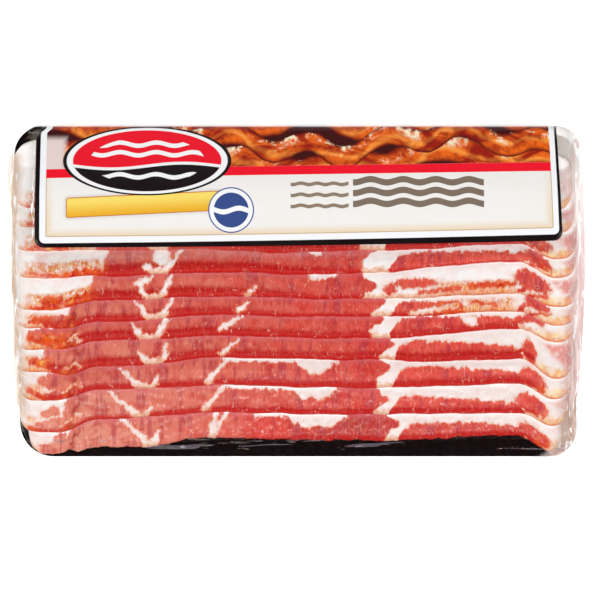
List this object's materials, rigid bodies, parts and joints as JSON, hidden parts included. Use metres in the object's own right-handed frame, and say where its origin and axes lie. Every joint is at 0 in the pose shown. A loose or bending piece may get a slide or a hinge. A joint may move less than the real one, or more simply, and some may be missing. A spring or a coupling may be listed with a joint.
{
  "type": "bacon pack",
  "caption": "Flat sealed pack of raw sliced bacon, shingled on a black-lined card folded over the top as a printed label, under clear tight film.",
  "frame": {"origin": "middle of the pack's footprint, on the surface that it lies on", "axes": "+X to the pack's right along the slices, +Y towards the fold at the label's top, +Z out of the front"},
  "size_m": [0.2791, 0.161, 0.02],
  "materials": {
    "film": "clear, glossy, drawn tight",
    "card": "black-lined coated card, glossy, printed on the label",
    "bacon": "raw streaky meat, wet"
  },
  "bodies": {
    "root": {"film": "film", "card": "card", "slice_01": "bacon", "slice_02": "bacon", "slice_03": "bacon", "slice_04": "bacon", "slice_05": "bacon", "slice_06": "bacon", "slice_07": "bacon", "slice_08": "bacon", "slice_09": "bacon", "slice_10": "bacon", "slice_11": "bacon"}
  },
  "joints": []
}
